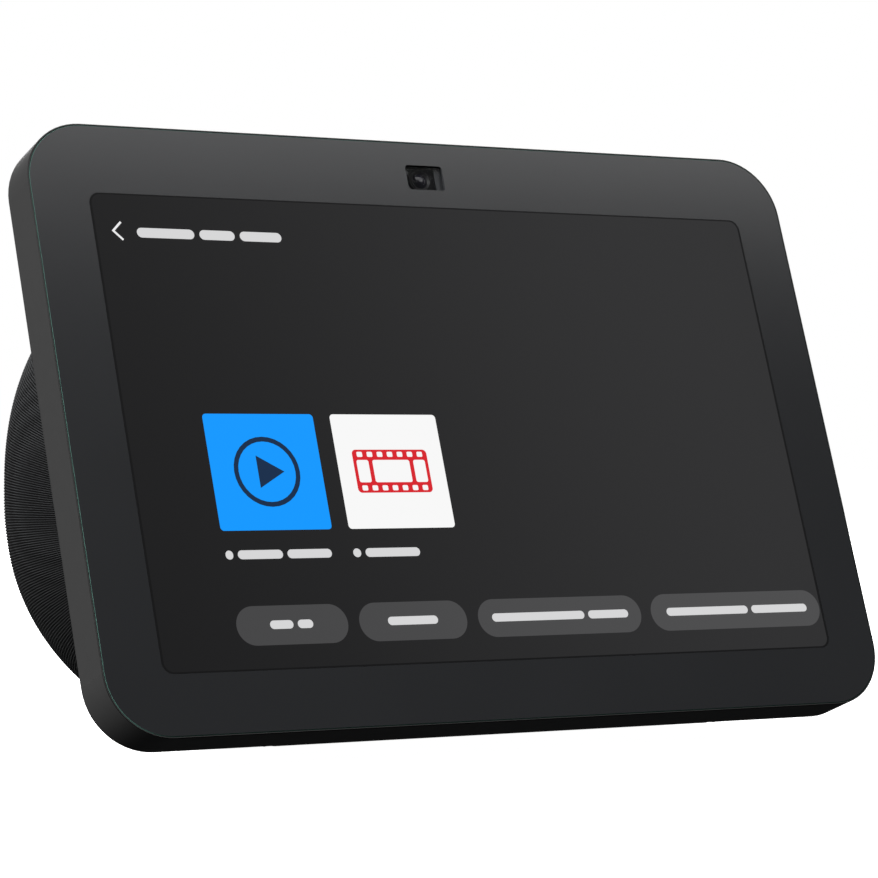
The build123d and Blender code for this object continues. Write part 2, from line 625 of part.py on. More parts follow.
def make_button_board():
    top = SLAB_HEIGHT / 2 - STRIP_DROP
    board = Pos(STRIP_X, top - STRIP_SIZE[1] / 2, -STRIP_DEPTH_POS) * Box(*STRIP_SIZE)
    switch_top = top + SWITCH_SIZE[1]
    switches = []
    for x in BUTTON_X.values():
        switch = Pos(x, top + SWITCH_SIZE[1] / 2, -STRIP_DEPTH_POS) * Box(*SWITCH_SIZE)
        tip = Rot(90, 0, 0) * Cylinder(SWITCH_TIP_RADIUS, SWITCH_TIP_HEIGHT)
        switches.append(switch + Pos(x, switch_top + SWITCH_TIP_HEIGHT / 2, -STRIP_DEPTH_POS) * tip)
    nodes["button_board"] = on_slab(board)
    nodes["tact_switches"] = on_slab(Compound(switches))


def make_microphones():
    wall_inside = SLAB_HEIGHT / 2 - WALL
    capsules = []
    for x in MIC_X:
        capsule = Pos(x, wall_inside - MIC_SIZE[1] / 2, -MIC_DEPTH_POS) * Box(*MIC_SIZE)
        port = Rot(90, 0, 0) * Cylinder(MIC_PORT_RADIUS, 2 * MIC_PORT_DEPTH)
        capsules.append(capsule - Pos(x, wall_inside, -MIC_DEPTH_POS) * port)
    nodes["microphones"] = on_slab(Compound(capsules))


# ------------------------------------------------------------------ dome
def facing_x(shape, sign):
    """Turn a shape drawn about Z, front up, so that it faces +X or -X at a driver's place."""
    return Pos(sign * DRIVER_X, DRIVER_Y, DRIVER_Z) * (Rot(0, sign * 90, 0) * shape)


def facing_back(shape):
    """Turn a shape drawn about Z, front up, so that it faces the back at the radiator's place."""
    return Pos(0, RADIATOR_Y, RADIATOR_Z) * (Rot(-90, 0, 0) * shape)


def inlet_rod(radius, start, end):
    """A rod along Y at the power inlet's axis."""
    return Pos(0, (start + end) / 2, INLET_Z) * (Rot(90, 0, 0) * Cylinder(radius, end - start))


def base_outline(margin):
    """The foot's outline, grown by a margin."""
    return RectangleRounded(FOOT_WIDTH + 2 * margin, FOOT_LENGTH + 2 * margin, FOOT_CORNER + margin)


def make_dome():
    region = behind(SLAB_DEPTH) & above(UNDER_SLAB)
    hole = inlet_rod(INLET_OUTER, 0, BIG)
    flange = dome_inner & behind(SLAB_DEPTH + FRONT_WALL) & above(BASE_TOP)
    flange -= above(BASE_TOP + BASE_FLANGE)
    opening = extrude(RectangleRounded(*FLANGE_OPENING, FLANGE_OPENING_CORNER), BIG)
    flange -= Pos(0, FLANGE_OPENING_Y, 0) * opening
    shell = dome_skin - dome_inner
    shell = (shell & region) + flange
    seat_limit = dome((FABRIC + SHELL_INNER) / 2) & behind(SLAB_DEPTH + FRONT_WALL)
    from_base = (Align.CENTER, Align.CENTER, Align.MIN)
    driver_seat = Cylinder(DRIVER_SEAT, SEAT_REACH, align=from_base)
    radiator_seat = Cylinder(RADIATOR_SEAT, SEAT_REACH, align=from_base)
    for seat in (facing_x(driver_seat, -1), facing_x(driver_seat, 1), facing_back(radiator_seat)):
        shell += seat & seat_limit
    for sign in (-1, 1):
        shell -= facing_x(Cylinder(DRIVER_OPENING, 2 * SEAT_REACH), sign)
    shell -= facing_back(Cylinder(RADIATOR_OPENING, 2 * SEAT_REACH))
    shell -= hole
    for x, y in BASE_SCREW_PLACES:
        shell -= upright(SCREW_RADIUS, BASE_TOP, BASE_TOP + BASE_HOLE_RISE, x, y)
    nodes["fabric_cover"] = (dome_outer - dome_skin) & region - hole
    nodes["dome_shell"] = shell


def make_enclosure_front():
    wall = dome_inner & behind(SLAB_DEPTH) & above(UNDER_SLAB)
    wall -= behind(SLAB_DEPTH + FRONT_WALL)
    for x, y in DOME_SCREW_PLACES:
        wall += on_slab(rod(ENCLOSURE_BOSS_RADIUS, SLAB_DEPTH + FRONT_WALL, ENCLOSURE_BOSS_BACK, x, y))
    for x, y in DOME_SCREW_PLACES:
        wall -= on_slab(rod(SCREW_RADIUS, SLAB_DEPTH, DOME_SCREW_TIP + 0.2, x, y))
    lead_places = [(-SPEAKER_LEAD_X, SPEAKER_LEAD_Y), (SPEAKER_LEAD_X, SPEAKER_LEAD_Y), (0, JACK_LEAD_Y)]
    for x, y in lead_places:
        wall -= on_slab(rod(LEAD_RADIUS, SLAB_DEPTH, SLAB_DEPTH + 2 * FRONT_WALL, x, y))
    nodes["enclosure_front"] = wall


def make_base():
    body = dome_inner & behind(SLAB_DEPTH + FRONT_WALL) & above(UNDER_SLAB)
    body -= above(BASE_TOP)
    pedestal = extrude(base_outline(PEDESTAL_MARGIN), UNDER_SLAB - PEDESTAL_BOTTOM)
    foot = Pos(0, FOOT_Y, 0) * extrude(base_outline(0), FOOT_THICKNESS)
    body += Pos(0, FOOT_Y, PEDESTAL_BOTTOM) * pedestal
    body -= foot
    seat = BASE_TOP - BASE_SEAT_DROP
    head_bottom = seat - BASE_HEAD_HEIGHT
    screws = []
    for x, y in BASE_SCREW_PLACES:
        body -= upright(HEAD_RADIUS, 0, seat, x, y)
        body -= upright(SCREW_RADIUS, seat, BASE_TOP, x, y)
        head = upright(HEAD_RADIUS, head_bottom, seat, x, y)
        head -= upright(DRIVE_RADIUS, head_bottom, head_bottom + DRIVE_DEPTH, x, y)
        screws.append(head + upright(SCREW_RADIUS, seat, BASE_TOP + BASE_SCREW_RISE, x, y))
    weight_width, weight_length, weight_height = WEIGHT_SIZE
    weight = extrude(RectangleRounded(weight_width, weight_length, WEIGHT_CORNER), weight_height)
    nodes["base_plate"] = body
    nodes["base_screws"] = Compound(screws)
    nodes["rubber_foot"] = chamfer(foot.faces().sort_by(Axis.Z)[0].edges(), FOOT_BEVEL)
    nodes["base_weight"] = Pos(0, WEIGHT_Y, BASE_TOP) * weight


# ------------------------------------------------------------------ speakers
def make_driver(side, sign):
    basket = turned(BASKET_SECTION)
    window = Pos(MAGNET_RADIUS, 0, BASKET_WINDOW_Z) * Box(*BASKET_WINDOW)
    for quarter in range(4):
        basket -= Rot(0, 0, 45 + 90 * quarter) * window
    nodes["speaker_" + side + "_basket"] = facing_x(basket, sign)
    nodes["speaker_" + side + "_magnet"] = facing_x(turned(MAGNET_SECTION), sign)
    nodes["speaker_" + side + "_cone"] = facing_x(turned(CONE_SECTION), sign)
    surround = turned_roll(ROLL_AT, ROLL_RADIUS, ROLL_THICKNESS)
    nodes["speaker_" + side + "_surround"] = facing_x(surround, sign)


def make_radiator():
    roll = turned_roll(RADIATOR_ROLL_AT, RADIATOR_ROLL_RADIUS, RADIATOR_ROLL_THICKNESS)
    nodes["radiator_ring"] = facing_back(turned(RADIATOR_RING_SECTION))
    nodes["radiator_diaphragm"] = facing_back(turned(DIAPHRAGM_SECTION))
    nodes["radiator_surround"] = facing_back(roll + turned(RADIATOR_LIP_SECTION))


# ------------------------------------------------------------------ power inlet and leads
def make_inlet():
    ring = inlet_rod(INLET_OUTER, INLET_FLOOR, BIG / 4) & dome(-INLET_PROUD)
    ring -= inlet_rod(INLET_RADIUS, INLET_FLOOR, BIG / 4)
    jack_flange = inlet_rod(INLET_OUTER, INLET_FLOOR - JACK_FLANGE, INLET_FLOOR)
    jack_middle = INLET_FLOOR - JACK_FLANGE - JACK_BODY[1] / 2
    jack = jack_flange + Pos(0, jack_middle, INLET_Z) * Box(*JACK_BODY)
    nodes["power_inlet_ring"] = ring
    nodes["power_jack"] = jack - inlet_rod(JACK_BORE, INLET_FLOOR - JACK_DEPTH, INLET_FLOOR)
    nodes["jack_pin"] = inlet_rod(PIN_RADIUS, INLET_FLOOR - JACK_DEPTH, INLET_FLOOR - PIN_SHORT)


def slab_point(x, y, depth):
    """The place of a point given in the slab's frame."""
    return (slab_centre * Location((x, y, -depth))).position


def make_leads():
    for side, sign in (("left", -1), ("right", 1)):
        start = slab_point(sign * SPEAKER_LEAD_X, SPEAKER_LEAD_Y, SLAB_DEPTH + LEAD_START)
        out = slab_point(sign * SPEAKER_LEAD_X, SPEAKER_LEAD_Y, SLAB_DEPTH + LEAD_STRAIGHT)
        end = Vector(sign * (DRIVER_X - MAGNET_BACK), DRIVER_Y, DRIVER_Z)
        before = end - Vector(sign * LEAD_TO_MAGNET, 0, 0)
        nodes["speaker_lead_" + side] = tube([start, out, before, end], SPEAKER_LEAD_BEND, LEAD_RADIUS)
    start = Vector(0, INLET_FLOOR - JACK_FLANGE - JACK_BODY[1], INLET_Z)
    turn = Vector(0, LEAD_TURN_Y, INLET_Z)
    near = slab_point(0, JACK_LEAD_Y, SLAB_DEPTH + LEAD_STRAIGHT)
    end = slab_point(0, JACK_LEAD_Y, SLAB_DEPTH + LEAD_START)
    nodes["jack_lead"] = tube([start, turn, near, end], JACK_LEAD_BEND, LEAD_RADIUS)


# ------------------------------------------------------------------ build everything
make_glass()
make_screen()
make_housing()
make_midframe()
make_rear_cover()
make_slab_screws()
make_board()
make_antennas()
make_display_flex()
make_camera()
make_shutter()
for button_name, button_x in BUTTON_X.items():
    make_button(button_name, button_x)
make_button_board()
make_microphones()
make_dome()
make_enclosure_front()
make_base()
make_driver("left", -1)
make_driver("right", 1)
make_radiator()
make_inlet()
make_leads()

os.makedirs("parts", exist_ok=True)
for node_name, node_shape in nodes.items():
    export_step(one_shape(node_shape), "parts/" + node_name + ".step")
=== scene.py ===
"""Looks of the smart display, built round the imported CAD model.

Places are in metres in the shared frame; the screen's picture is laid out in millimetres on the
slab's front and then carried into the frame.
"""

import json
import math

import bmesh
import bpy
import numpy as np
from mathutils import Matrix, Vector


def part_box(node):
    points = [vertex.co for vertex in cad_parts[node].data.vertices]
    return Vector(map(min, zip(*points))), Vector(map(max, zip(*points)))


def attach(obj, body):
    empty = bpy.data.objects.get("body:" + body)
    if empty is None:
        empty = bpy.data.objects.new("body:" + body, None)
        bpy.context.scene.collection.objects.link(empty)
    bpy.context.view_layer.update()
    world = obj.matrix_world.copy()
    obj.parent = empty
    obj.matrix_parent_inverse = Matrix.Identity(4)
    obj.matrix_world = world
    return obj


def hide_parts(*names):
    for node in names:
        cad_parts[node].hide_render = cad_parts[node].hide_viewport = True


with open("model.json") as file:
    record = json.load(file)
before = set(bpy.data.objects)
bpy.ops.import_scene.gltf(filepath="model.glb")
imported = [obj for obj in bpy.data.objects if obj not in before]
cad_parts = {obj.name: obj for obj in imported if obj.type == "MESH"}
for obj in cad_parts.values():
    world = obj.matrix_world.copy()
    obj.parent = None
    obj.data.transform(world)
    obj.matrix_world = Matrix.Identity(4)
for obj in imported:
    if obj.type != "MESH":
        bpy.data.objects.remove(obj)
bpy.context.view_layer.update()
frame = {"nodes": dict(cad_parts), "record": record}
MM = 0.001

# ------------------------------------------------------------------ the slab's own frame
LEAN = math.radians(19.83)
SLAB_HEIGHT = 138.32 * MM
OBJECT_DEPTH = 106.0 * MM
WALL_DEPTH = 11.55 * MM             # the slab's rounded rear edge is lowest this far behind its front
SLAB_REAR = 12.5 * MM               # from the slab's front to its rear face
UNDER_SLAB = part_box("fabric_cover")[0][2]
UP = Vector((0, math.sin(LEAN), math.cos(LEAN)))
OUT = Vector((0, -math.cos(LEAN), math.sin(LEAN)))
RIGHT = Vector((1, 0, 0))
CENTRE = Vector((0, -OBJECT_DEPTH / 2, UNDER_SLAB + WALL_DEPTH * math.sin(LEAN))) + UP * SLAB_HEIGHT / 2
SLAB = Matrix((
    (RIGHT.x, UP.x, OUT.x, CENTRE.x),
    (RIGHT.y, UP.y, OUT.y, CENTRE.y),
    (RIGHT.z, UP.z, OUT.z, CENTRE.z),
    (0, 0, 0, 1),
))


# ------------------------------------------------------------------ node helpers
class Nodes:
    """A material's node tree with short ways to add and join nodes."""

    def __init__(self, name):
        self.material = bpy.data.materials.new(name)
        self.material.use_nodes = True
        self.tree = self.material.node_tree
        self.shader = self.tree.nodes["Principled BSDF"]

    def add(self, kind, **settings):
        node = self.tree.nodes.new(kind)
        for key, value in settings.items():
            setattr(node, key, value)
        return node

    def join(self, out, into):
        self.tree.links.new(out, into)

    def math(self, operation, *values):
        """A sum worked out on numbers and node outputs."""
        node = self.add("ShaderNodeMath", operation=operation)
        for socket, value in zip(node.inputs, values):
            if isinstance(value, (int, float)):
                socket.default_value = value
            else:
                self.join(value, socket)
        return node.outputs[0]

    def position(self):
        """The place on the object, in metres: every piece has its origin at the frame's."""
        return self.add("ShaderNodeTexCoord").outputs["Object"]

    def noise(self, scale, detail=3.0, roughness=0.55, vector=None):
        node = self.add("ShaderNodeTexNoise")
        node.inputs["Scale"].default_value = scale
        node.inputs["Detail"].default_value = detail
        node.inputs["Roughness"].default_value = roughness
        self.join(vector or self.position(), node.inputs["Vector"])
        return node.outputs["Fac"]

    def ramp(self, value, stops):
        """A colour that blends between stops of (place, colour)."""
        node = self.add("ShaderNodeValToRGB")
        elements = node.color_ramp.elements
        while len(elements) < len(stops):
            elements.new(0.5)
        for element, (place, colour) in zip(elements, stops):
            element.position = place
            element.color = (*colour, 1)
        self.join(value, node.inputs["Fac"])
        return node.outputs["Color"]

    def spread(self, value, low, high):
        """Maps 0..1 to low..high."""
        node = self.add("ShaderNodeMapRange")
        node.inputs["To Min"].default_value = low
        node.inputs["To Max"].default_value = high
        self.join(value, node.inputs["Value"])
        return node.outputs["Result"]

    def bump(self, height, strength, distance):
        """Raises the surface by a height of 0..1 times a distance in metres."""
        node = self.add("ShaderNodeBump")
        node.inputs["Strength"].default_value = strength
        node.inputs["Distance"].default_value = distance
        self.join(height, node.inputs["Height"])
        self.join(node.outputs["Normal"], self.shader.inputs["Normal"])

    def set(self, **values):
        """Sets the shader's sockets; an underscore in a key stands for a space."""
        for key, value in values.items():
            self.shader.inputs[key.replace("_", " ")].default_value = value


def linear(*srgb):
    """Linear colour of an 8-bit sRGB colour."""
    out = []
    for value in srgb:
        share = value / 255
        out.append(share / 12.92 if share <= 0.04045 else ((share + 0.055) / 1.055) ** 2.4)
    return tuple(out)


def scaled(colour, factor):
    """A colour made lighter or darker."""
    return tuple(channel * factor for channel in colour)


# ------------------------------------------------------------------ materials
GRAIN_SCALE = 2600                  # spark-eroded grain of the moulded parts
GRAIN_DEPTH = 0.04 * MM
GRAIN_STRENGTH = 0.25
SHINE_SCALE = 420                   # patches in which the roughness varies
DIELECTRIC = 0.5                    # the shader's usual specular level
STRAIGHT_ON = 0.97                  # cosines to the slab's outward direction: faces between
SIDEWAYS = 0.2                      # these two are the front bevels
CHARCOAL = linear(53, 53, 53)


def moulded(name, colour, roughness=0.5):
    """Moulded plastic: spark-eroded grain, faint cloudiness and a roughness that varies."""
    nodes = Nodes(name)
    cloud = nodes.noise(35, 2)
    tint = nodes.ramp(cloud, [(0.3, scaled(colour, 0.93)), (0.7, scaled(colour, 1.07))])
    nodes.join(tint, nodes.shader.inputs["Base Color"])
    shine = nodes.spread(nodes.noise(SHINE_SCALE, 2), roughness - 0.05, roughness + 0.06)
    nodes.join(shine, nodes.shader.inputs["Roughness"])
    nodes.bump(nodes.noise(GRAIN_SCALE, 3, 0.6), GRAIN_STRENGTH, GRAIN_DEPTH)
    return nodes.material


def metal(name, colour, roughness=0.35, stretch=(1, 30, 1)):
    """Metal with drawn or rolled lines along one axis."""
    nodes = Nodes(name)
    mapping = nodes.add("ShaderNodeMapping")
    mapping.inputs["Scale"].default_value = stretch
    nodes.join(nodes.position(), mapping.inputs["Vector"])
    lines = nodes.noise(240, 4, 0.6, mapping.outputs["Vector"])
    tint = nodes.ramp(lines, [(0.3, scaled(colour, 0.85)), (0.7, scaled(colour, 1.1))])
    nodes.join(tint, nodes.shader.inputs["Base Color"])
    nodes.join(nodes.spread(lines, roughness - 0.08, roughness + 0.1), nodes.shader.inputs["Roughness"])
    nodes.bump(lines, 0.1, 0.00003)
    nodes.set(Metallic=1.0)
    return nodes.material


def rubber(name, colour, roughness=0.8):
    """Rubber: matte, with fine pits and dusty patches."""
    nodes = Nodes(name)
    dust = nodes.noise(90, 4, 0.65)
    tint = nodes.ramp(dust, [(0.35, colour), (0.75, scaled(colour, 1.5))])
    nodes.join(tint, nodes.shader.inputs["Base Color"])
    nodes.join(nodes.spread(dust, roughness - 0.08, roughness + 0.08), nodes.shader.inputs["Roughness"])
    nodes.bump(nodes.noise(1900, 2), 0.3, 0.00005)
    nodes.set(Specular_IOR_Level=0.3)
    return nodes.material


def front_bevel(nodes):
    """1 on the small bevels round the front of the glass and of the housing, 0 elsewhere; it places the
    painted highlight on the glass edge and the painted shade on the housing's bevel.
    """
    geometry = nodes.add("ShaderNodeNewGeometry")
    facing = nodes.add("ShaderNodeVectorMath", operation="DOT_PRODUCT")
    nodes.join(geometry.outputs["True Normal"], facing.inputs[0])
    facing.inputs[1].default_value = OUT
    edge = nodes.math("LESS_THAN", facing.outputs["Value"], STRAIGHT_ON)
    front = nodes.math("GREATER_THAN", facing.outputs["Value"], SIDEWAYS)
    return nodes.math("MULTIPLY", edge, front)


def dull_bevel(nodes, bevel, loss):
    """Lowers the specular level on the front bevel."""
    level = nodes.math("MULTIPLY_ADD", bevel, -loss, DIELECTRIC)
    nodes.join(level, nodes.shader.inputs["Specular IOR Level"])


def moulded_housing(colour):
    """The slab's housing: moulded grain, with painted shade on its sharp front bevel where the gap to the
    glass lies, and duller there.
    """
    nodes = Nodes("charcoal_frame")
    bevel = front_bevel(nodes)
    # Painted shade: the front bevel is darkened to stand in for the shaded gap between the housing and
    # the glass.
    tint = nodes.ramp(bevel, [(0.0, colour), (1.0, scaled(colour, 0.35))])
    nodes.join(tint, nodes.shader.inputs["Base Color"])
    shine = nodes.spread(nodes.noise(SHINE_SCALE, 2), 0.41, 0.52)
    nodes.join(shine, nodes.shader.inputs["Roughness"])
    dull_bevel(nodes, bevel, 0.45)
    nodes.bump(nodes.noise(GRAIN_SCALE, 3, 0.6), GRAIN_STRENGTH, GRAIN_DEPTH)
    return nodes.material


def printed_glass():
    """Cover glass over a dark print, with a green ground edge painted pale as a highlight."""
    nodes = Nodes("printed_glass")
    bevel = front_bevel(nodes)
    mix = nodes.add("ShaderNodeMix", data_type="RGBA")
    nodes.join(bevel, mix.inputs["Factor"])
    cloud = nodes.noise(14, 2)
    base = nodes.ramp(cloud, [(0.3, linear(46, 47, 49)), (0.7, linear(50, 51, 53))])
    nodes.join(base, mix.inputs["A"])
    # Painted highlight: the bevel's pale green is the glass edge's green tint, lightened to stand in for
    # the light the edge catches.
    mix.inputs["B"].default_value = (*linear(74, 106, 98), 1)
    nodes.join(mix.outputs["Result"], nodes.shader.inputs["Base Color"])
    polish = nodes.spread(nodes.noise(60, 3), 0.17, 0.19)
    nodes.join(nodes.math("MULTIPLY_ADD", bevel, 0.5, polish), nodes.shader.inputs["Roughness"])
    dull_bevel(nodes, bevel, 0.42)
    return nodes.material


def clear_glass():
    """A thin clear window: mostly seen through, with a sharp reflection."""
    tint = (0.9, 0.95, 1.0)
    nodes = Nodes("clear_window")
    smear = nodes.noise(200, 3)
    nodes.join(nodes.spread(smear, 0.03, 0.09), nodes.shader.inputs["Roughness"])
    colour = nodes.ramp(smear, [(0.3, scaled(tint, 0.02)), (0.7, scaled(tint, 0.03))])
    nodes.join(colour, nodes.shader.inputs["Base Color"])
    nodes.set(Alpha=0.12, Specular_IOR_Level=0.6)
    return nodes.material


def lens_glass():
    """Coated lens: near black in the middle, with the coating's violet and then green reflection painted
    on towards its edge, by how squarely it faces the viewer.
    """
    nodes = Nodes("lens_glass")
    weight = nodes.add("ShaderNodeLayerWeight")
    weight.inputs["Blend"].default_value = 0.35
    # Painted reflection: the coating's tint is base colour that follows the facing angle, not light
    # reflected from the scene.
    painted_coating_reflection = nodes.ramp(
        weight.outputs["Facing"],
        [(0.0, linear(10, 11, 14)), (0.35, linear(38, 34, 52)), (0.8, linear(44, 58, 56))],
    )
    nodes.join(painted_coating_reflection, nodes.shader.inputs["Base Color"])
    nodes.join(nodes.spread(nodes.noise(300, 2), 0.04, 0.08), nodes.shader.inputs["Roughness"])
    nodes.set(Specular_IOR_Level=0.5, Coat_Weight=0.2, Coat_Roughness=0.1)
    return nodes.material


def circuit_board():
    """Green solder mask with a faint web of tracks under it."""
    nodes = Nodes("solder_mask")
    web = nodes.add("ShaderNodeTexVoronoi", feature="DISTANCE_TO_EDGE")
    web.inputs["Scale"].default_value = 260
    nodes.join(nodes.position(), web.inputs["Vector"])
    tracks = nodes.ramp(web.outputs["Distance"], [(0.02, linear(24, 96, 62)), (0.06, linear(10, 62, 40))])
    nodes.join(tracks, nodes.shader.inputs["Base Color"])
    nodes.join(nodes.spread(nodes.noise(300, 2), 0.28, 0.42), nodes.shader.inputs["Roughness"])
    nodes.bump(web.outputs["Distance"], 0.2, 0.00005)
    return nodes.material


def pressed_paper():
    """Pressed cone paper: long fibres."""
    nodes = Nodes("cone_fibre")
    fibres = nodes.noise(700, 6, 0.75)
    tint = nodes.ramp(fibres, [(0.35, linear(28, 28, 30)), (0.7, linear(58, 57, 56))])
    nodes.join(tint, nodes.shader.inputs["Base Color"])
    nodes.join(nodes.spread(fibres, 0.75, 0.95), nodes.shader.inputs["Roughness"])
    nodes.bump(fibres, 0.5, 0.0001)
    return nodes.material


def picture(name, low, high, axis=(1, 0, 0), span=0.09):
    """A lit part of the screen's picture, blending between two colours along an axis."""
    nodes = Nodes(name)
    along = nodes.add("ShaderNodeVectorMath", operation="DOT_PRODUCT")
    nodes.join(nodes.position(), along.inputs[0])
    along.inputs[1].default_value = Vector(axis)
    share = nodes.add("ShaderNodeMapRange", interpolation_type="SMOOTHSTEP")
    share.inputs["From Min"].default_value = -span
    share.inputs["From Max"].default_value = span
    nodes.join(along.outputs["Value"], share.inputs["Value"])
    colour = nodes.ramp(share.outputs["Result"], [(0.0, linear(*low)), (1.0, linear(*high))])
    nodes.join(colour, nodes.shader.inputs["Emission Color"])
    nodes.join(nodes.spread(nodes.noise(80, 2), 0.4, 0.46), nodes.shader.inputs["Roughness"])
    nodes.set(Base_Color=(0.004, 0.004, 0.004, 1), Emission_Strength=1.0, Specular_IOR_Level=0.08)
    return nodes.material


def knit():
    """Ribbed knit: the yarn's loops run along each rib; the ridges are painted paler as if lit and the
    grooves carry painted shade.
    """
    nodes = Nodes("ribbed_knit")
    split = nodes.add("ShaderNodeSeparateXYZ")
    nodes.join(nodes.position(), split.inputs["Vector"])
    back = nodes.math("SUBTRACT", split.outputs["Y"], FAN_Y)
    rise = nodes.math("SUBTRACT", split.outputs["Z"], FAN_Z)
    turn = nodes.math("ARCTAN2", rise, back)
    ribs = nodes.math("MULTIPLY", turn, 1 / RIB_ANGLE)
    phase = nodes.math("MULTIPLY", ribs, 2 * math.pi)
    painted_rib_light = nodes.math("MULTIPLY_ADD", nodes.math("COSINE", phase), 0.5, 0.5)
    along = nodes.math("MULTIPLY", split.outputs["X"], 2 * math.pi / LOOP_PITCH)
    swing = nodes.math("MULTIPLY", nodes.math("ABSOLUTE", nodes.math("SINE", phase)), 2.2)
    wave = nodes.math("SINE", nodes.math("ADD", along, swing))
    loops = nodes.math("MULTIPLY_ADD", wave, 0.5, 0.5)
    fuzz = nodes.noise(3000, 4, 0.7)
    height = nodes.math("ADD", nodes.math("MULTIPLY", loops, 0.55), nodes.math("MULTIPLY", fuzz, 0.45))
    # Painted shade and light: the colour falls to near black in the grooves and rises on the ridges; the
    # loops and fuzz are the yarn's own texture.
    shade = nodes.math("MULTIPLY", painted_rib_light, nodes.spread(height, 0.75, 1.15))
    colour = nodes.ramp(
        shade, [(0.0, linear(1, 1, 1)), (0.5, linear(7, 7, 8)), (1.0, linear(56, 57, 58))]
    )
    nodes.join(colour, nodes.shader.inputs["Base Color"])
    nodes.join(nodes.spread(fuzz, 0.82, 0.98), nodes.shader.inputs["Roughness"])
    nodes.bump(height, 0.7, 0.00012)
    nodes.set(Specular_IOR_Level=0.06, Sheen_Weight=0.02, Sheen_Roughness=0.5)
    return nodes.material


# ------------------------------------------------------------------ mesh helpers
LAYER = 0.02 * MM                   # step between the layers of the screen's picture
SHARPEST = 0.3                      # keeps the corners of a stroke from running to a spike


def new_piece(name, verts, faces, material, body="housing", smooth=False):
    """A new mesh with one material that rides on a body."""
    mesh = bpy.data.meshes.new(name)
    mesh.from_pydata([tuple(v) for v in verts], [], faces)
    mesh.materials.append(material)
    if smooth:
        mesh.polygons.foreach_set("use_smooth", [True] * len(mesh.polygons))
    piece = bpy.data.objects.new(name, mesh)
    bpy.context.scene.collection.objects.link(piece)
    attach(piece, body)
    return piece


def rounded_outline(width, height, radius, x=0.0, y=0.0, steps=10):
    """A rounded rectangle's outline in the slab's frame, in mm, anticlockwise."""
    radius = min(radius, width / 2, height / 2)
    points = []
    for quarter, (sx, sy) in enumerate(((1, 1), (-1, 1), (-1, -1), (1, -1))):
        for step in range(steps + 1):
            angle = math.pi / 2 * (quarter + step / steps)
            points.append((
                x + sx * (width / 2 - radius) + radius * math.cos(angle),
                y + sy * (height / 2 - radius) + radius * math.sin(angle),
            ))
    return points


def circle_outline(radius, x, y, steps=32):
    """A circle's outline in the slab's frame, in mm."""
    return [
        (x + radius * math.cos(2 * math.pi * s / steps), y + radius * math.sin(2 * math.pi * s / steps))
        for s in range(steps)
    ]


def sheet_of_light(name, outlines, layer, material):
    """Flat shapes of the screen's picture, so many thin layers in front of the glass."""
    verts = []
    faces = []
    for outline in outlines:
        first = len(verts)
        for x, y in outline:
            verts.append(SLAB @ Vector((x * MM, y * MM, layer * LAYER)))
        faces.append(list(range(first, first + len(outline))))
    new_piece(name, verts, faces, material)


def stroke(points, width):
    """The outline of a line of constant width through a few points, with square ends."""
    left, right = [], []
    for index, (x, y) in enumerate(points):
        before = points[max(index - 1, 0)]
        after = points[min(index + 1, len(points) - 1)]
        first = Vector((x - before[0], y - before[1]))
        second = Vector((after[0] - x, after[1] - y))
        first = (first if first.length else second).normalized()
        second = (second if second.length else first).normalized()
        middle = (first + second).normalized()
        reach = width / 2 / max(middle.dot(first), SHARPEST)
        left.append((x - middle.y * reach, y + middle.x * reach))
        right.append((x + middle.y * reach, y - middle.x * reach))
    return right + left[::-1]


# ------------------------------------------------------------------ CAD pieces: materials
def dress_nodes():
    """Gives every CAD node the material that its slot in the record stands for."""
    looks = {
        "cover_glass": printed_glass(),
        "clear_glass": clear_glass(),
        "display_glass": moulded("panel_glass", linear(20, 20, 22), 0.2),
        "diffuser": moulded("milky_acrylic", linear(225, 228, 232), 0.35),
        "tray_metal": metal("stamped_tray", linear(190, 192, 196), 0.4),
        "black_rubber": rubber("black_rubber", linear(26, 26, 27)),
        "grey_rubber": rubber("thermal_rubber", linear(120, 124, 130)),
        "charcoal_plastic": moulded("charcoal_housing", CHARCOAL, 0.46),
        "carrier_metal": metal("cast_carrier", linear(170, 172, 176), 0.5, (1, 1, 1)),
        "screw_steel": metal("black_zinc", linear(70, 70, 74), 0.35),
        "circuit_board": circuit_board(),
        "chip_plastic": moulded("chip_package", linear(30, 30, 31), 0.6),
        "tin_steel": metal("tinned_steel", linear(180, 181, 183), 0.3),
        "antenna_brass": metal("gold_plate", linear(214, 178, 96), 0.3),
        "flex_film": moulded("polyimide_film", linear(178, 108, 34), 0.3),
        "black_plastic": moulded("black_moulding", linear(24, 24, 26), 0.55),
        "light_pipe": moulded("light_pipe", linear(150, 152, 156), 0.2),
        "button_plastic": moulded("satin_button", linear(58, 60, 63), 0.38),
        "knit_fabric": None,
        "wire_rubber": rubber("wire_insulation", linear(40, 40, 42), 0.55),
        "radiator_steel": metal("radiator_steel", linear(56, 56, 58), 0.45),
        "basket_steel": metal("basket_steel", linear(60, 60, 62), 0.4),
        "magnet_iron": metal("nickel_plate", linear(150, 150, 152), 0.25),
        "cone_paper": pressed_paper(),
    }
    special = {"camera_lens": lens_glass(), "display_frame": moulded_housing(CHARCOAL)}
    slots = {row["node"]: row["material_slot"] for row in frame["record"]["subparts"]}
    for node, piece in frame["nodes"].items():
        look = special.get(node) or looks[slots[node]]
        if look is None:
            continue
        piece.data.materials.clear()
        piece.data.materials.append(look)


